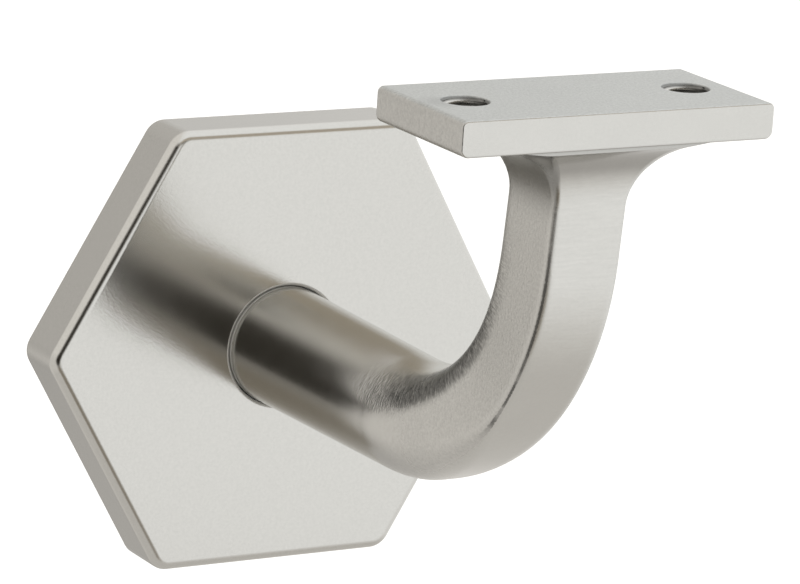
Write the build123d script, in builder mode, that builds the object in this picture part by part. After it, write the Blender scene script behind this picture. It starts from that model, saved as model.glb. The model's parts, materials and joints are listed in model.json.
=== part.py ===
from build123d import *
from math import cos, radians, sin, tan
import os

# Handrail bracket, in millimetres.
# The origin is the centre of the face that lies on the wall.
# +X runs along the wall, +Y goes into the wall and +Z is up, so the bracket stands out toward -Y.

# Saddle that carries the rail
saddle_length = 50.8
saddle_width = 23.8
saddle_thickness = 5.2
saddle_top = 57.0
rail_projection = 88.5
saddle_end_top_radius = 0.9
saddle_end_bottom_radius = 1.2
saddle_front_radius = 0.25
saddle_back_radius = 0.5
rail_hole_end_distance = 7.3
rail_hole_radius = 3.175
rail_hole_chamfer = 0.4

# Round stem of the arm
stem_base_radius = 9.5
stem_end_radius = 8.9

# Bend and riser of the arm
bend_radius = 37.6
riser_lean = 5.4
riser_setback = 1.0
bend_width = 12.2
bend_depth = 12.9
riser_width = 12.1
riser_depth = 13.6
outer_corner_radius = 0.8
inner_corner_radius = 2.0
round_to_flat_angle = 56.0
half_flat_on_round = 0.05
bend_steps = 10

# Flare where the riser spreads into the saddle
flare_height = 10.0
flare_reach_x = 13.0
flare_reach_y = 7.6
flare_arc = 80.0
flare_corner_growth = 5.0
flare_back_setback = 1.7
flare_steps = 6

# Cover over the wall plate
cover_sides = 6
cover_across_flats = 70.0
cover_depth = 9.5
cover_wall = 1.6
cover_corner_radius = 3.5
cover_rim_radius = 1.5
cover_to_stem_clearance = 0.15
cover_hole_chamfer = 0.3
cover_boss_width = 9.0

# Plate that is screwed to the wall
wall_plate_thickness = 6.0
wall_plate_edge_chamfer = 0.5
wall_screw_count = 3
wall_screw_circle = 42.0
wall_screw_hole_radius = 2.75
wall_screw_sink_radius = 5.5
wall_screw_sink_angle = 82.0

# Screws with hexagonal sockets
socket_sides = 6

# Countersunk screw that pulls the arm onto the wall plate
arm_screw_radius = 4.0
arm_screw_head_radius = 8.0
arm_screw_head_angle = 90.0
arm_screw_head_recess = 0.3
arm_screw_length = 25.0
arm_screw_tip_chamfer = 0.8
arm_screw_clearance = 0.2
arm_screw_socket = 5.0
arm_screw_socket_depth = 3.0
arm_bore_spare_depth = 3.0

# Pins that stop the arm from turning on the wall plate
pin_radius = 1.25
pin_length = 8.0
pin_back_recess = 3.0
pin_end_chamfer = 0.25

# Set screw that holds the cover against the wall
set_screw_radius = 2.0
set_screw_length = 6.0
set_screw_recess = 0.2
set_screw_socket = 2.0
set_screw_socket_depth = 2.0
set_screw_tip_chamfer = 0.5
boss_to_plate_clearance = 0.8

# Sizes that follow from the ones above
rail_hole_spacing = saddle_length - 2 * rail_hole_end_distance
saddle_underside = saddle_top - saddle_thickness
turn_angle = 90.0 - riser_lean
flare_start = saddle_underside - flare_height
riser_top_y = -rail_projection + riser_setback
riser_top_plane = Plane(origin=(0, riser_top_y, flare_start), x_dir=(1, 0, 0), z_dir=(0, 0, 1))
corner_y = riser_top_y + flare_start * tan(radians(riser_lean))
bend_start = -corner_y - bend_radius * tan(radians(turn_angle / 2))
wall_plate_radius = cover_across_flats / 2 - set_screw_recess - set_screw_length
pin_offset = (arm_screw_radius + stem_base_radius) / 2


def blend(start, end, share):
    """Value on the way from start to end, with a smooth start and a smooth stop."""
    t = min(max(share, 0.0), 1.0)
    return start + (end - start) * t * t * (3 - 2 * t)


def arm_section(width, depth, outer_radius, inner_radius):
    """Rounded rectangle whose outer corners and inner corners have their own radii."""
    Rectangle(width, depth)
    corners = vertices().sort_by(Axis.Y)
    fillet(corners[:2], outer_radius)
    corners = vertices().sort_by(Axis.Y)
    fillet(corners[-2:], inner_radius)


def bend_plane(angle):
    """Plane square to the arm's centre line after it has turned by the angle."""
    turn = radians(angle)
    centre = (0, -bend_start - bend_radius * sin(turn), bend_radius * (1 - cos(turn)))
    return Plane(origin=centre, x_dir=(1, 0, 0), z_dir=(0, -cos(turn), sin(turn)))


# Saddle plate by itself, with its edges softened before it joins the arm
with BuildPart() as saddle:
    with Locations((0, -rail_projection, saddle_underside + saddle_thickness / 2)):
        Box(saddle_length, saddle_width, saddle_thickness)
    end_edges = edges().filter_by(Axis.Y).group_by(Axis.Z)
    fillet(end_edges[-1], saddle_end_top_radius)
    fillet(end_edges[0], saddle_end_bottom_radius)
    fillet(faces().sort_by(Axis.Y)[0].edges(), saddle_front_radius)
    fillet(faces().sort_by(Axis.Y)[-1].edges(), saddle_back_radius)

# Flare from the riser to the saddle, cut off at the flat part of the saddle's underside
with BuildPart() as flare:
    for step in range(flare_steps + 1):
        swing = radians(flare_arc * step / flare_steps)
        rise = sin(swing) / sin(radians(flare_arc))
        reach = 1 - cos(swing)
        with BuildSketch(Plane.XY.offset(flare_start + flare_height * rise)):
            with Locations((0, riser_top_y - riser_setback * rise)):
                arm_section(
                    riser_width + 2 * flare_reach_x * reach,
                    riser_depth + 2 * flare_reach_y * reach,
                    outer_corner_radius + flare_corner_growth * reach,
                    inner_corner_radius + flare_corner_growth * reach,
                )
    loft()
    flare_front = -rail_projection - saddle_width / 2 + saddle_front_radius
    flare_back = -rail_projection + saddle_width / 2 - flare_back_setback
    with Locations((0, (flare_front + flare_back) / 2, saddle_underside)):
        Box(saddle_length, flare_back - flare_front, 2 * saddle_underside, mode=Mode.INTERSECT)

# Arm: stem, bend, riser and saddle in one casting
with BuildPart() as arm:
    # Tapered round stem
    with BuildSketch(Plane.XZ.offset(wall_plate_thickness)):
        Circle(stem_base_radius)
    round_size = 2 * stem_end_radius
    round_corner = stem_end_radius - half_flat_on_round
    with BuildSketch(bend_plane(0)):
        arm_section(round_size, round_size, round_corner, round_corner)
    loft()
    # Bend, whose corners shrink from the stem's full roundness to the riser's small radii
    for step in range(bend_steps + 1):
        angle = turn_angle * step / bend_steps
        share = angle / round_to_flat_angle
        late = (angle - round_to_flat_angle) / (turn_angle - round_to_flat_angle)
        with BuildSketch(bend_plane(angle)):
            arm_section(
                blend(round_size, bend_width, share) + blend(0, riser_width - bend_width, late),
                blend(round_size, bend_depth, share) + blend(0, riser_depth - bend_depth, late),
                blend(round_corner, outer_corner_radius, share),
                blend(round_corner, inner_corner_radius, share),
            )
    loft()
    # Straight part of the riser, with flat faces
    with BuildSketch(bend_plane(turn_angle)):
        arm_section(riser_width, riser_depth, outer_corner_radius, inner_corner_radius)
    with BuildSketch(riser_top_plane):
        arm_section(riser_width, riser_depth, outer_corner_radius, inner_corner_radius)
    loft()
    # Flare and saddle plate
    add(flare.part)
    add(saddle.part)
    # Two threaded holes for the rail screws
    hole_plane = Plane.XY.offset(saddle_top)
    with BuildSketch(hole_plane):
        with Locations((0, -rail_projection)):
            with GridLocations(rail_hole_spacing, 1, 2, 1):
                Circle(rail_hole_radius)
    extrude(amount=-saddle_thickness, mode=Mode.SUBTRACT)
    top_face = faces().sort_by(Axis.Z)[-1]
    chamfer([wire.edge() for wire in top_face.inner_wires()], rail_hole_chamfer)
    # Threaded bore and pin holes in the wall end of the stem
    stem_face = Plane.XZ.offset(wall_plate_thickness)
    bore_end = arm_screw_head_recess + arm_screw_length + arm_bore_spare_depth
    with BuildSketch(stem_face):
        Circle(arm_screw_radius)
    extrude(amount=bore_end - wall_plate_thickness, mode=Mode.SUBTRACT)
    pin_end = pin_back_recess + pin_length
    with BuildSketch(stem_face):
        with GridLocations(2 * pin_offset, 1, 2, 1):
            Circle(pin_radius)
    extrude(amount=pin_end - wall_plate_thickness, mode=Mode.SUBTRACT)

# Cover: a hexagonal shell open toward the wall
with BuildPart() as cover:
    with BuildSketch(Plane.XZ):
        RegularPolygon(cover_across_flats / 2, cover_sides, major_radius=False)
        fillet(vertices(), cover_corner_radius)
    extrude(amount=cover_depth)
    fillet(faces().sort_by(Axis.Y)[0].edges(), cover_rim_radius)
    with BuildSketch(Plane.XZ):
        RegularPolygon(cover_across_flats / 2 - cover_wall, cover_sides, major_radius=False)
        fillet(vertices(), cover_corner_radius - cover_wall)
    extrude(amount=cover_depth - cover_wall, mode=Mode.SUBTRACT)
    # Boss inside the lower flat that gives the set screw its thread
    boss_low = cover_across_flats / 2 - cover_wall / 2
    boss_high = wall_plate_radius + boss_to_plate_clearance
    with BuildSketch(Plane.XZ):
        with Locations((0, -(boss_low + boss_high) / 2)):
            Rectangle(cover_boss_width, boss_low - boss_high)
    extrude(amount=cover_depth - cover_wall / 2)
    # Hole that the stem passes through
    with BuildSketch(Plane.XZ):
        Circle(stem_base_radius + cover_to_stem_clearance)
    extrude(amount=cover_depth, mode=Mode.SUBTRACT)
    front_face = faces().sort_by(Axis.Y)[0]
    chamfer(front_face.inner_wires()[0].edges(), cover_hole_chamfer)
    # Threaded hole for the set screw
    with BuildSketch(Plane.XY.offset(-cover_across_flats / 2)):
        with Locations((0, -wall_plate_thickness / 2)):
            Circle(set_screw_radius)
    extrude(amount=cover_across_flats / 2 - boss_high, mode=Mode.SUBTRACT)

# Wall plate: a disc that stays hidden inside the cover
with BuildPart() as wall_plate:
    with BuildSketch(Plane.XZ):
        Circle(wall_plate_radius)
    extrude(amount=wall_plate_thickness)
    chamfer(edges().filter_by(GeomType.CIRCLE), wall_plate_edge_chamfer)
    # Countersunk holes for the wall screws, open toward the room
    with Locations(Plane.XZ.offset(wall_plate_thickness)):
        with PolarLocations(wall_screw_circle / 2, wall_screw_count, start_angle=90):
            CounterSinkHole(
                wall_screw_hole_radius,
                wall_screw_sink_radius,
                counter_sink_angle=wall_screw_sink_angle,
            )
    # Countersunk hole for the arm's screw, open toward the wall
    with Locations(Plane(origin=(0, 0, 0), x_dir=(1, 0, 0), z_dir=(0, 1, 0))):
        CounterSinkHole(
            arm_screw_radius + arm_screw_clearance,
            arm_screw_head_radius + arm_screw_head_recess,
            counter_sink_angle=arm_screw_head_angle,
        )
    # Blind holes for the pins, open toward the stem
    with BuildSketch(Plane.XZ.offset(pin_back_recess)):
        with GridLocations(2 * pin_offset, 1, 2, 1):
            Circle(pin_radius)
    extrude(amount=wall_plate_thickness - pin_back_recess, mode=Mode.SUBTRACT)

# Countersunk screw with its head on the wall side
with BuildPart() as arm_screw:
    head_face = -arm_screw_head_recess
    head_slope = tan(radians(arm_screw_head_angle / 2))
    neck = head_face - (arm_screw_head_radius - arm_screw_radius) / head_slope
    tip = head_face - arm_screw_length
    with BuildSketch(Plane.XY):
        with BuildLine():
            Polyline(
                (0, head_face),
                (arm_screw_head_radius, head_face),
                (arm_screw_radius, neck),
                (arm_screw_radius, tip + arm_screw_tip_chamfer),
                (arm_screw_radius - arm_screw_tip_chamfer, tip),
                (0, tip),
                close=True,
            )
        make_face()
    revolve(axis=Axis.Y)
    with BuildSketch(Plane.XZ.offset(arm_screw_head_recess)):
        RegularPolygon(arm_screw_socket / 2, socket_sides, major_radius=False)
    extrude(amount=arm_screw_socket_depth, mode=Mode.SUBTRACT)

# Two pins, half in the wall plate and half in the stem
with BuildPart() as locating_pins:
    with BuildSketch(Plane.XZ.offset(pin_back_recess)):
        with GridLocations(2 * pin_offset, 1, 2, 1):
            Circle(pin_radius)
    extrude(amount=pin_length)
    chamfer(edges().filter_by(GeomType.CIRCLE), pin_end_chamfer)

# Set screw that presses up on the edge of the wall plate
with BuildPart() as cover_set_screw:
    set_screw_low = -(wall_plate_radius + set_screw_length)
    with BuildSketch(Plane.XY.offset(set_screw_low)):
        with Locations((0, -wall_plate_thickness / 2)):
            Circle(set_screw_radius)
    extrude(amount=set_screw_length)
    chamfer(edges().filter_by(GeomType.CIRCLE).sort_by(Axis.Z)[-1], set_screw_tip_chamfer)
    with BuildSketch(Plane.XY.offset(set_screw_low)):
        with Locations((0, -wall_plate_thickness / 2)):
            RegularPolygon(set_screw_socket / 2, socket_sides, major_radius=False)
    extrude(amount=set_screw_socket_depth, mode=Mode.SUBTRACT)

arm.part.label = "arm"
cover.part.label = "cover"
wall_plate.part.label = "wall_plate"
arm_screw.part.label = "arm_screw"
locating_pins.part.label = "locating_pins"
cover_set_screw.part.label = "cover_set_screw"

os.makedirs("parts", exist_ok=True)
export_step(arm.part, "parts/arm.step")
export_step(cover.part, "parts/cover.step")
export_step(wall_plate.part, "parts/wall_plate.step")
export_step(arm_screw.part, "parts/arm_screw.step")
export_step(locating_pins.part, "parts/locating_pins.step")
export_step(cover_set_screw.part, "parts/cover_set_screw.step")
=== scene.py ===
import json
import math

import bpy
from mathutils import Matrix, Vector


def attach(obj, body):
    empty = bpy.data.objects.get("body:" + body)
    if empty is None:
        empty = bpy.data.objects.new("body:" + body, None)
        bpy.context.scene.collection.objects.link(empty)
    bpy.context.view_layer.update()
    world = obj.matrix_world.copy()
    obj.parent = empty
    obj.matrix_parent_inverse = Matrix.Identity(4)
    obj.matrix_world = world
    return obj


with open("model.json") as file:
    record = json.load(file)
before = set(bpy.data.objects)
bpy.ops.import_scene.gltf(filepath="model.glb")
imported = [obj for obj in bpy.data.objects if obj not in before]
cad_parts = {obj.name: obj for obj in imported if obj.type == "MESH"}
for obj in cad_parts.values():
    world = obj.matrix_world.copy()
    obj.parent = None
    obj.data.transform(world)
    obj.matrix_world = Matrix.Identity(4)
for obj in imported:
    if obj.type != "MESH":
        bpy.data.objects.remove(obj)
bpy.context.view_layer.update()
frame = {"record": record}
scene = bpy.context.scene

MM = 0.001
RIGHT = (1, 0, 0)
LEFT = (-1, 0, 0)
TO_WALL = (0, 1, 0)
TO_FRONT = (0, -1, 0)
UP = (0, 0, 1)
DOWN = (0, 0, -1)
WHITE = (1, 1, 1, 1)


def toward(azimuth, elevation):
    """Direction in degrees: azimuth 0 is in front of the wall, 90 is along +X."""
    turn = math.radians(azimuth)
    lift = math.radians(elevation)
    level = math.cos(lift)
    return Vector((math.sin(turn) * level, -math.cos(turn) * level, math.sin(lift)))


# Camera at the photograph's viewing angle: degrees and metres, with lens and sensor in millimetres
VIEW_AZIMUTH = -30.65
VIEW_ELEVATION = 14.15
VIEW_ROLL = math.radians(3.67)
VIEW_DISTANCE = 0.75766
VIEW_TARGET = Vector((0.00954, -0.02756, 0.01248))
VIEW_LENS = 222.83
VIEW_SENSOR = 36.0
VIEW_NEAREST = 0.01
VIEW_FARTHEST = 50.0


def make_camera():
    back = toward(VIEW_AZIMUTH, VIEW_ELEVATION)
    level_right = (-back).cross(Vector(UP)).normalized()
    level_up = level_right.cross(-back)
    right = level_right * math.cos(VIEW_ROLL) + level_up * math.sin(VIEW_ROLL)
    up = level_up * math.cos(VIEW_ROLL) - level_right * math.sin(VIEW_ROLL)
    data = bpy.data.cameras.new("camera")
    data.sensor_fit = "HORIZONTAL"
    data.sensor_width = VIEW_SENSOR
    data.lens = VIEW_LENS
    data.clip_start = VIEW_NEAREST
    data.clip_end = VIEW_FARTHEST
    camera = bpy.data.objects.new("camera", data)
    scene.collection.objects.link(camera)
    turn = Matrix((right, up, back)).transposed().to_4x4()
    camera.matrix_world = Matrix.Translation(VIEW_TARGET + back * VIEW_DISTANCE) @ turn
    scene.camera = camera


# Sockets of the Mix node that carry colours
MIX_FIRST = 6
MIX_SECOND = 7
MIX_RESULT = 2


class Tree:
    """Short calls that add nodes to a material or world and join them."""

    def __init__(self, owner):
        owner.use_nodes = True
        self.tree = owner.node_tree
        self.tree.nodes.clear()

    def node(self, kind, inputs=None, **settings):
        """New node. Each input is a plain value or the output of another node."""
        made = self.tree.nodes.new(kind)
        for name, value in settings.items():
            setattr(made, name, value)
        for key, value in (inputs or {}).items():
            if isinstance(value, bpy.types.NodeSocket):
                self.tree.links.new(value, made.inputs[key])
            else:
                made.inputs[key].default_value = value
        return made

    def math(self, operation, *values):
        return self.node("ShaderNodeMath", dict(enumerate(values)), operation=operation).outputs[0]

    def add(self, a, b):
        return self.math("ADD", a, b)

    def subtract(self, a, b):
        return self.math("SUBTRACT", a, b)

    def times(self, *values):
        product = values[0]
        for value in values[1:]:
            product = self.math("MULTIPLY", product, value)
        return product

    def vector(self, operation, *values):
        made = self.node("ShaderNodeVectorMath", dict(enumerate(values)), operation=operation)
        return made.outputs["Vector"]

    def measure(self, operation, *values):
        """Number that a vector calculation gives, such as a length."""
        made = self.node("ShaderNodeVectorMath", dict(enumerate(values)), operation=operation)
        return made.outputs["Value"]

    def dot(self, a, b):
        return self.measure("DOT_PRODUCT", a, b)

    def scale(self, vector, factor):
        inputs = {0: vector, "Scale": factor}
        return self.node("ShaderNodeVectorMath", inputs, operation="SCALE").outputs["Vector"]

    def mix(self, share, first, second):
        """The first colour where the share is 0 and the second where it is 1."""
        inputs = {"Factor": share, MIX_FIRST: first, MIX_SECOND: second}
        return self.node("ShaderNodeMix", inputs, data_type="RGBA").outputs[MIX_RESULT]

    def ramp(self, value, limits, results=(0.0, 1.0)):
        """Smooth step from one result to the other between two limits of a value."""
        inputs = {"Value": value, "From Min": limits[0], "From Max": limits[1]}
        inputs.update({"To Min": results[0], "To Max": results[1]})
        made = self.node("ShaderNodeMapRange", inputs, interpolation_type="SMOOTHSTEP")
        return made.outputs["Result"]

    def mask(self, *steps):
        """Product of smooth steps, each of a value and its limits."""
        return self.times(*[self.ramp(value, limits) for value, limits in steps])

    def shaded(self, mask, level):
        """1 outside a mask and a level inside it, smoothly."""
        return self.ramp(mask, (0.0, 1.0), (1.0, level))

    def within(self, mask, value):
        """1 outside a mask and a changing value inside it."""
        return self.add(1.0, self.times(mask, self.subtract(value, 1.0)))

    def varied(self, amount, *values):
        """1, varied by an amount of a noise, or of a noise inside a mask."""
        return self.add(1.0, self.times(*values, amount))

    def noise(self, vector, kind):
        """Noise round zero, from about -0.5 to 0.5, of a scale, detail and roughness."""
        scale, detail, roughness = kind
        inputs = {"Vector": vector, "Scale": scale, "Detail": detail, "Roughness": roughness}
        return self.subtract(self.node("ShaderNodeTexNoise", inputs).outputs[0], 0.5)

    def blend(self, share, first, second):
        """The first shader where the share is 0 and the second where it is 1."""
        shaders = {1: first.outputs[0], 2: second.outputs[0]}
        return self.node("ShaderNodeMixShader", {0: share, **shaders})

    def finish(self, shader, kind="ShaderNodeOutputMaterial"):
        self.node(kind, {"Surface": shader.outputs[0]})


# Plain soft studio: bright to the right, dimmer at the wall, and a little darker from below.
# Heights and limits are cosines between a ray and UP or the named side.
WARM = (1.0, 0.965, 0.915)
NEUTRAL = (1.0, 1.0, 0.99, 1)
SKY_HEIGHT = (0.05, 0.5)
SKY_LEVELS = (0.73, 0.84)
GROUND_HEIGHT = (-0.9, -0.5)
GROUND_LEVELS = (0.86, 1.0)
WALL_SIDE = toward(180, 10)
WALL_LIMITS = (0.72, 0.9)
LOW_WALL_SIDE = toward(180, -28)
LOW_WALL_LIMITS = (0.86, 0.98)
WALL_LEVELS = (1.0, 0.68)
BRIGHT_SIDE = toward(65, 15)
BRIGHT_LIMITS = (-0.1, 0.5)
BRIGHT_HEIGHT = (-0.85, -0.4)

# Dark patches that the metal mirrors: azimuth, elevation, half width and half height in degrees,
# then how far the patch covers what is behind it, and its own level
SHADOW = (1.0, 0.86, 0.66)
DARK_PATCHES = (
    ((20, 25, 34, 17), 0.9, 0.42),
    ((-12, -38, 24, 15), 0.9, 0.24),
    ((-32, 2, 25, 27), 1.0, 0.03),
)
PATCH_EDGE = (0.6, 1.4)
PATCH_FRONT = (0.0, 0.3)


def patch(t, ray, azimuth, elevation, half_width, half_height):
    """1 inside a soft-edged oval patch of the studio and 0 outside it."""
    ahead = toward(azimuth, elevation)
    across = toward(azimuth + 90, 0)
    above = across.cross(-ahead)
    wide = t.math("DIVIDE", t.dot(ray, across), math.sin(math.radians(half_width)))
    high = t.math("DIVIDE", t.dot(ray, above), math.sin(math.radians(half_height)))
    reach = t.math("SQRT", t.add(t.times(wide, wide), t.times(high, high)))
    inside = t.ramp(reach, PATCH_EDGE, (1.0, 0.0))
    return t.times(inside, t.ramp(t.dot(ray, ahead), PATCH_FRONT))


def studio(t, ray):
    """Colour of the studio in the direction of a ray."""
    height = t.dot(ray, UP)
    level = t.ramp(height, SKY_HEIGHT, SKY_LEVELS)
    level = t.times(level, t.ramp(t.dot(ray, WALL_SIDE), WALL_LIMITS, WALL_LEVELS))
    level = t.times(level, t.ramp(t.dot(ray, LOW_WALL_SIDE), LOW_WALL_LIMITS, WALL_LEVELS))
    level = t.times(level, t.ramp(height, GROUND_HEIGHT, GROUND_LEVELS))
    bright = t.mask((t.dot(ray, BRIGHT_SIDE), BRIGHT_LIMITS), (height, BRIGHT_HEIGHT))
    colour = t.mix(bright, t.scale(WARM, level), NEUTRAL)
    for place, cover, own_level in DARK_PATCHES:
        dark = tuple(own_level * part for part in SHADOW) + (1,)
        colour = t.mix(t.times(patch(t, ray, *place), cover), colour, dark)
    return colour


def make_world():
    """The studio lights the object, and the camera sees white paper behind it."""
    world = bpy.data.worlds.new("studio")
    scene.world = world
    t = Tree(world)
    ray = t.node("ShaderNodeTexCoord").outputs["Generated"]
    camera_ray = t.node("ShaderNodeLightPath").outputs["Is Camera Ray"]
    light = t.node("ShaderNodeBackground", {"Color": studio(t, ray)})
    paper = t.node("ShaderNodeBackground", {"Color": WHITE})
    t.finish(t.blend(camera_ray, light, paper), "ShaderNodeOutputWorld")


def add_mesh(name, points, faces, material):
    mesh = bpy.data.meshes.new(name)
    mesh.from_pydata(points, [], faces)
    mesh.materials.append(material)
    made = bpy.data.objects.new(name, mesh)
    scene.collection.objects.link(made)
    return made


FLOOR_LEVEL = -0.16
FLOOR_HALF = 3.0
FLOOR_COLOUR = (0.8, 0.8, 0.79, 1)
FLOOR_GLOW = 0.5

# The point near the object from which the floor takes its place in the studio
STUDIO_CENTRE = (0.0, -0.06, 0.02)


def make_floor():
    """Pale floor that the metal sees as part of the studio, and that keeps a soft shadow."""
    material = bpy.data.materials.new("floor")
    t = Tree(material)
    place = t.node("ShaderNodeNewGeometry").outputs["Position"]
    ray = t.vector("NORMALIZE", t.vector("SUBTRACT", place, STUDIO_CENTRE))
    path = t.node("ShaderNodeLightPath").outputs
    matt = t.node("ShaderNodeBsdfDiffuse", {"Color": FLOOR_COLOUR})
    glow = t.node("ShaderNodeEmission", {"Color": WHITE, "Strength": FLOOR_GLOW})
    paper = t.node("ShaderNodeAddShader", {0: matt.outputs[0], 1: glow.outputs[0]})
    seen = t.blend(path["Is Camera Ray"], matt, paper)
    mirrored = t.node("ShaderNodeEmission", {"Color": studio(t, ray)})
    t.finish(t.blend(path["Is Glossy Ray"], seen, mirrored))
    corners = [(-1, -1), (1, -1), (1, 1), (-1, 1)]
    points = [(x * FLOOR_HALF, y * FLOOR_HALF, FLOOR_LEVEL) for x, y in corners]
    floor = add_mesh("floor", points, [(0, 1, 2, 3)], material)


NICKEL = (0.69, 0.683, 0.655, 1)
BLASTED_NICKEL = (0.645, 0.66, 0.65, 1)
ZINC = (0.56, 0.57, 0.59)
BEVEL_SAMPLES = 6

# Noises of all metals: scale per metre, detail and roughness
FINE_GRAIN = (3000.0, 3.0, 0.6)
POLISH = (300.0, 3.0, 0.5)

# Depth of the fine grain in millimetres
NICKEL_GRAIN_DEPTH = 0.007
ZINC_GRAIN_DEPTH = 0.008

# Metallic of the bare metal, and of the surfaces inside the gap round the stem, which would
# mirror nothing but black as bare metal
METALLIC = (1.0, 0.1)


def new_metal(name):
    """Empty material, its node tree, and the place of a point in the part's frame."""
    material = bpy.data.materials.new(name)
    t = Tree(material)
    return material, t, t.node("ShaderNodeTexCoord").outputs["Object"]


def metal(t, colour, roughness, height, edge_radius=0.0, metallic=1.0):
    """Metal shader with its bump from a height in millimetres, over softened edges."""
    soft = t.node("ShaderNodeBevel", {"Radius": edge_radius}, samples=BEVEL_SAMPLES)
    relief = {"Height": height, "Strength": 1.0, "Distance": MM, "Normal": soft.outputs[0]}
    bump = t.node("ShaderNodeBump", relief)
    inputs = {"Normal": bump.outputs[0], "Metallic": metallic}
    inputs.update({"Base Color": colour, "Roughness": roughness})
    t.finish(t.node("ShaderNodeBsdfPrincipled", inputs))


# The arm's bend, as in part.py: its centre, and the radius of the arm's centre line
BEND_CENTRE = (0.0, -49.34 * MM, 37.6 * MM)
BEND_RADIUS = 37.6 * MM

# The rail holes, from the record
MOUNTS = {mount["name"]: mount for mount in frame["record"]["mounts"]}
RAIL_HOLES = MOUNTS["rail_screw_holes"]
HOLE_X = RAIL_HOLES["dims"]["spacing_x_mm"] * MM / 2
HOLE_Y = RAIL_HOLES["pos_m"][1]
HOLE_TOP = RAIL_HOLES["pos_m"][2]
HOLE_RADIUS = RAIL_HOLES["dims"]["hole_r_mm"] * MM

# Where each part of the arm's finish, and each place of painted shade, begins and where it is
# full. A height is along Z and a depth along Y, in metres, a slope is a cosine between the
# surface's normal and an axis, and inside is how far a point lies from the arm's centre line
# towards the bend's centre.
TOP_HEIGHT = (56.5 * MM, 56.9 * MM)
TOP_SLOPE = (0.3, 0.8)
FRONT_HEIGHT = (52 * MM, 50 * MM)
FRONT_SLOPE = (0.8, 0.97)
CAST_DEPTH = (-50 * MM, -66 * MM)
CAST_SLOPE = (0.2, 0.75)
INNER_EDGE_INSIDE = (1.5 * MM, 4.5 * MM)
INNER_EDGE_SLOPE = (0.38, 0.7)
INNER_EDGE_DEPTH = (-42 * MM, -58 * MM)
INNER_EDGE_HEIGHT = (44 * MM, 14 * MM)
# Real dark casting marks in the hollow of the inner bend, with painted shade and painted
# reflection over them
INNER_CORE_INSIDE = (1.8 * MM, 4.0 * MM)
INNER_CORE_SLOPE = (0.35, 0.65)
INNER_CORE_DEPTH = (-50 * MM, -60 * MM)
INNER_CORE_HEIGHT = (33 * MM, 12 * MM)
SADDLE_UNDERSIDE = (52.3 * MM, 51.7 * MM)
# Painted shade on the arm under the saddle
UNDER_SADDLE_HEIGHT = (37 * MM, 48 * MM)
HOLE_REACH = (3.62 * MM, 3.45 * MM)
HOLE_HEIGHT = (57.05 * MM, 56.75 * MM)

# The arm's front left corner: its normal's shares of left and of outward from the bend's centre
CORNER_LEFT = 0.62
CORNER_OUTWARD = 0.785
# Painted shade along the thin crease at the front left corner
CREASE_LIMITS = (0.955, 0.99)
CREASE_WANDER = 0.09
CREASE_START = (1.5 * MM, 9 * MM)
# Painted dark reflection on the rounded strip of the corner beside the crease
CORNER_REFLECTION_LIMITS = (0.84, 0.97)
CORNER_REFLECTION_HEIGHT = (8 * MM, 20 * MM)

# Smooth steps with results of their own: the two limits, then the result at each
CREASE_FADE = ((46 * MM, 26 * MM), (0.25, 1.0))
CREASE_BREAKS = ((-0.15, 0.1), (0.5, 1.0))
CORE_HAIRS = ((-0.3, 0.3), (1.1, 0.8))
EDGE_HAIRS = ((-0.16, 0.2), (0.45, 1.08))
GRAIN_SHADE = ((-0.25, 0.25), (0.98, 1.013))
UNDER_SADDLE_SIDES = ((-0.2, 0.4), (0.4, 1.0))
# Painted shade on the rail holes' walls, dark at the thread roots and lighter at the crests
HOLE_WALL_SHADE = ((2.9 * MM, 3.15 * MM), (1.0, 0.38))
SMUDGE_SHADE = ((1 * MM, 4.5 * MM), (0.86, 1.0))
SOFT_EDGE = ((40 * MM, 46 * MM), (1.4 * MM, 0.15 * MM))
STEM_SEAT = ((-9.75 * MM, -9.55 * MM), METALLIC)

# Centre of the smudge beside the left rail hole
SMUDGE = (-HOLE_X - 3.5 * MM, HOLE_Y, HOLE_TOP)

# How far the painted shade under the saddle spares the brushed front
SPARED_FRONT = 0.8

# Level of each darkening on the arm, where 1 leaves the metal as it is: casting marks with painted
# shade in the bend, painted shade along the crease and under the saddle, painted reflection on the
# corner
INNER_MARKS_AND_SHADE_LEVEL = 0.5
CREASE_SHADE_LEVEL = 0.3
CORNER_REFLECTION_LEVEL = 0.78
UNDER_SADDLE_SHADE_LEVEL = 0.5

# The arm's noises: scale per metre, detail and roughness. The hairs and strokes are stretched.
CAST = (2300.0, 3.0, 0.65)
BLAST = (2300.0, 3.0, 0.7)
HAIRS = (1.0, 2.0, 0.6)
HAIR_STRETCH = (3000, 800, 800)
STROKES = (1.0, 3.0, 0.6)
STROKE_STRETCH = (260, 420, 2600)
BREAKS = (210.0, 1.0, 0.5)
CLOUDS = (120.0, 2.0, 0.5)

# Depth of the relief that each makes, in millimetres
CAST_RELIEF = 0.07
BLAST_RELIEF = 0.06
HAIR_RELIEF = 0.11
STROKE_RELIEF = 0.01

# How far each varies the arm's colour
CAST_VARIATION = 0.38
BLAST_VARIATION = 0.45
STROKE_VARIATION = 0.11
CLOUD_VARIATION = 0.06

BRUSHED_ROUGHNESS = 0.18
BLASTED_ROUGHNESS = 0.45
CAST_ROUGHNESS = 0.12
ARM_POLISH = 0.05


def bend_place(t, place):
    """How far inside the bend a point lies, its direction outward, and the noise of the hairs."""
    spoke = t.vector("SUBTRACT", t.vector("MULTIPLY", place, (0, 1, 1)), BEND_CENTRE)
    reach = t.measure("LENGTH", spoke)
    inside = t.subtract(BEND_RADIUS, reach)
    outward = t.vector("NORMALIZE", spoke)
    arc = t.times(t.math("ARCTAN2", t.dot(spoke, TO_FRONT), t.dot(spoke, DOWN)), BEND_RADIUS)
    along = t.node("ShaderNodeCombineXYZ", {0: arc, 1: reach, 2: t.dot(place, RIGHT)})
    hair = t.noise(t.vector("MULTIPLY", along.outputs[0], HAIR_STRETCH), HAIRS)
    return inside, outward, hair


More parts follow.
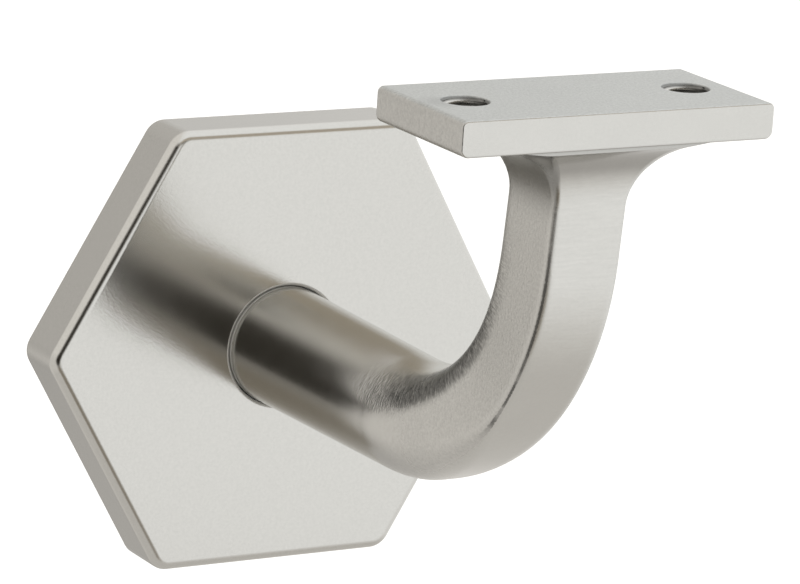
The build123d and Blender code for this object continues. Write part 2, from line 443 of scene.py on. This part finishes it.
def hole_reach(t, place):
    """Distance from the axis of the nearer rail hole."""
    across = t.math("ABSOLUTE", t.dot(place, RIGHT))
    folded = t.node("ShaderNodeCombineXYZ", {0: across, 1: t.dot(place, TO_WALL)})
    return t.measure("DISTANCE", folded.outputs[0], (HOLE_X, HOLE_Y, 0))


def arm_nickel():
    """Satin nickel on a casting: blasted saddle, brushed front, rough sides, hairy inner bend, and
    painted shade and reflections.
    """
    material, t, place = new_metal("arm_nickel")
    normal = t.node("ShaderNodeNewGeometry").outputs["Normal"]
    y = t.dot(place, TO_WALL)
    z = t.dot(place, UP)
    facing_up = t.dot(normal, UP)
    facing_front = t.dot(normal, TO_FRONT)
    facing_left = t.dot(normal, LEFT)
    facing_side = t.math("ABSOLUTE", facing_left)
    inside, outward, hair = bend_place(t, place)
    from_hole = hole_reach(t, place)

    # Parts of the arm with their own finish, and the places of its painted shade
    on_top = t.mask((z, TOP_HEIGHT), (facing_up, TOP_SLOPE))
    on_front = t.mask((facing_front, FRONT_SLOPE), (z, FRONT_HEIGHT))
    cast = t.mask((facing_side, CAST_SLOPE), (y, CAST_DEPTH))
    # Where shade is painted inside the rail holes
    hole_shade = t.mask((from_hole, HOLE_REACH), (z, HOLE_HEIGHT))
    inner_edge = t.mask(
        (inside, INNER_EDGE_INSIDE),
        (facing_left, INNER_EDGE_SLOPE),
        (y, INNER_EDGE_DEPTH),
        (z, INNER_EDGE_HEIGHT),
    )
    # Real dark casting marks, and painted shade and reflection, in the hollow of the inner bend
    inner_marks_and_shade = t.mask(
        (inside, INNER_CORE_INSIDE),
        (facing_left, INNER_CORE_SLOPE),
        (y, INNER_CORE_DEPTH),
        (z, INNER_CORE_HEIGHT),
    )
    inner_marks_and_shade = t.times(inner_marks_and_shade, t.ramp(hair, *CORE_HAIRS))
    # Painted shade under the saddle, lighter on the brushed front
    shade_under_saddle = t.times(
        t.mask((z, UNDER_SADDLE_HEIGHT), (z, SADDLE_UNDERSIDE)),
        t.subtract(1.0, t.times(on_front, SPARED_FRONT)),
        t.ramp(facing_left, *UNDER_SADDLE_SIDES),
    )

    # Painted shade along the thin crease at the front left corner, and a painted dark reflection
    # on the strip beside it
    outward_share = t.times(t.dot(normal, outward), CORNER_OUTWARD)
    corner = t.add(t.times(facing_left, CORNER_LEFT), outward_share)
    wandering = t.add(corner, t.times(hair, CREASE_WANDER))
    crease_shade = t.times(
        t.mask((wandering, CREASE_LIMITS), (z, CREASE_START)),
        t.ramp(z, *CREASE_FADE),
        t.ramp(t.noise(place, BREAKS), *CREASE_BREAKS),
    )
    # Painted dark reflection on the rounded corner beside the crease
    corner_reflection = t.mask((corner, CORNER_REFLECTION_LIMITS), (z, CORNER_REFLECTION_HEIGHT))

    # Relief in millimetres
    grains = t.noise(place, CAST)
    strokes = t.noise(t.vector("MULTIPLY", place, STROKE_STRETCH), STROKES)
    height = t.times(t.noise(place, FINE_GRAIN), NICKEL_GRAIN_DEPTH)
    height = t.add(height, t.times(t.noise(place, BLAST), BLAST_RELIEF, on_top))
    height = t.add(height, t.times(strokes, STROKE_RELIEF, on_front))
    height = t.add(height, t.times(grains, CAST_RELIEF, cast))
    height = t.add(height, t.times(hair, HAIR_RELIEF, inner_edge))

    # Shade: grain that differs from face to face and the hair marks, then the casting marks and
    # painted shade in the bend, painted shade along the crease, under the saddle and in the rail
    # holes, a painted dark reflection on the corner, and the smudge
    from_smudge = t.measure("DISTANCE", place, SMUDGE)
    shade = t.times(
        t.ramp(grains, *GRAIN_SHADE),
        t.varied(CAST_VARIATION, grains, cast),
        t.varied(BLAST_VARIATION, grains, on_top),
        t.varied(STROKE_VARIATION, strokes, on_front),
        t.varied(CLOUD_VARIATION, t.noise(place, CLOUDS)),
        t.within(inner_edge, t.ramp(hair, *EDGE_HAIRS)),
        t.shaded(inner_marks_and_shade, INNER_MARKS_AND_SHADE_LEVEL),
        t.shaded(crease_shade, CREASE_SHADE_LEVEL),
        t.shaded(corner_reflection, CORNER_REFLECTION_LEVEL),
        t.shaded(shade_under_saddle, UNDER_SADDLE_SHADE_LEVEL),
        t.ramp(from_smudge, *SMUDGE_SHADE),
        t.within(hole_shade, t.ramp(from_hole, *HOLE_WALL_SHADE)),
    )
    tinted = t.scale(t.mix(on_top, NICKEL, BLASTED_NICKEL), shade)

    rough = t.ramp(on_top, (0.0, 1.0), (BRUSHED_ROUGHNESS, BLASTED_ROUGHNESS))
    rough = t.add(rough, t.times(cast, CAST_ROUGHNESS))
    rough = t.add(rough, t.times(t.noise(place, POLISH), ARM_POLISH))
    metal(t, tinted, rough, height, t.ramp(z, *SOFT_EDGE), t.ramp(y, *STEM_SEAT))
    return material


# The cover's finish round its hole, by the distance from the stem's axis
COVER_SOFT_EDGE = ((10.5 * MM, 11.5 * MM), (0.45 * MM, 0.2 * MM))
COVER_HOLE = ((10.15 * MM, 10.0 * MM), METALLIC)

COVER_MOTTLE = (2600.0, 3.0, 0.65)
COVER_SHADE = ((-0.25, 0.25), (0.97, 1.02))
COVER_ROUGHNESS = 0.165
COVER_POLISH = 0.03


def cover_nickel():
    """Satin nickel on the pressed cover."""
    material, t, place = new_metal("cover_nickel")
    tinted = t.scale(NICKEL[:3], t.ramp(t.noise(place, COVER_MOTTLE), *COVER_SHADE))
    from_axis = t.measure("LENGTH", t.vector("MULTIPLY", place, (1, 0, 1)))
    softened = t.ramp(from_axis, *COVER_SOFT_EDGE)
    rough = t.add(COVER_ROUGHNESS, t.times(t.noise(place, POLISH), COVER_POLISH))
    height = t.times(t.noise(place, FINE_GRAIN), NICKEL_GRAIN_DEPTH)
    metal(t, tinted, rough, height, softened, t.ramp(from_axis, *COVER_HOLE))
    return material


ZINC_CELL_SCALE = 900.0
ZINC_SHADE = ((0.0, 0.8), (0.9, 1.05))
ZINC_NOISE = (500.0, 3.0, 0.5)
ZINC_ROUGHNESS = 0.38
ZINC_VARIATION = 0.15


def zinc():
    """Dull zinc plating on the hidden steel pieces."""
    material, t, place = new_metal("zinc")
    cells = t.node("ShaderNodeTexVoronoi", {"Vector": place, "Scale": ZINC_CELL_SCALE})
    tinted = t.scale(ZINC, t.ramp(cells.outputs["Distance"], *ZINC_SHADE))
    rough = t.add(ZINC_ROUGHNESS, t.times(t.noise(place, ZINC_NOISE), ZINC_VARIATION))
    height = t.times(t.noise(place, FINE_GRAIN), ZINC_GRAIN_DEPTH)
    metal(t, tinted, rough, height)
    return material


# Threads in the two rail holes
THREAD_PITCH = 1.0 * MM
THREAD_DEPTH = 0.4 * MM
THREAD_TOP = 0.55 * MM
THREAD_BOTTOM = 4.6 * MM
THREAD_SEAT = 0.03 * MM
RIDGE_HALF = 0.44 * MM
CREST_HALF = 0.06 * MM
RIDGE_POINTS = 4
STEPS_PER_TURN = 40
RUN_OUT_STEPS = 14


def thread(name, centre, radius, material):
    """Helical ridge inside a hole, with a run-out at each end."""
    turns = (THREAD_BOTTOM - THREAD_TOP) / THREAD_PITCH
    steps = round(turns * STEPS_PER_TURN)
    root = radius + THREAD_SEAT
    points = []
    faces = []
    for step in range(steps + 1):
        angle = 2 * math.pi * step / STEPS_PER_TURN
        drop = THREAD_TOP + THREAD_PITCH * step / STEPS_PER_TURN
        grown = min(1.0, step / RUN_OUT_STEPS, (steps - step) / RUN_OUT_STEPS)
        crest = root - (THREAD_DEPTH + THREAD_SEAT) * grown
        lower = [(root, -RIDGE_HALF), (crest, -CREST_HALF)]
        upper = [(crest, CREST_HALF), (root, RIDGE_HALF)]
        for reach, rise in lower + upper:
            across = reach * math.cos(angle)
            deep = reach * math.sin(angle)
            points.append((centre[0] + across, centre[1] + deep, centre[2] - drop + rise))
        if step:
            ring = RIDGE_POINTS * step
            last = ring - RIDGE_POINTS
            for side in range(RIDGE_POINTS):
                follow = (side + 1) % RIDGE_POINTS
                faces.append((last + side, ring + side, ring + follow, last + follow))
    faces.append(tuple(reversed(range(RIDGE_POINTS))))
    faces.append(tuple(RIDGE_POINTS * steps + side for side in range(RIDGE_POINTS)))
    piece = add_mesh(name, points, faces, material)
    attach(piece, "root")


def make_threads(material):
    for side, sign in (("left", -1), ("right", 1)):
        centre = (sign * HOLE_X, HOLE_Y, HOLE_TOP)
        thread("rail_hole_thread_" + side, centre, HOLE_RADIUS, material)


def dress(node, material):
    for slot in bpy.data.objects[node].material_slots:
        slot.material = material


make_camera()
make_world()
make_floor()
casting = arm_nickel()
dress("arm", casting)
make_threads(casting)
dress("cover", cover_nickel())
plating = zinc()
for node in ("wall_plate", "arm_screw", "locating_pins", "cover_set_screw"):
    dress(node, plating)

scene.view_settings.view_transform = "Standard"
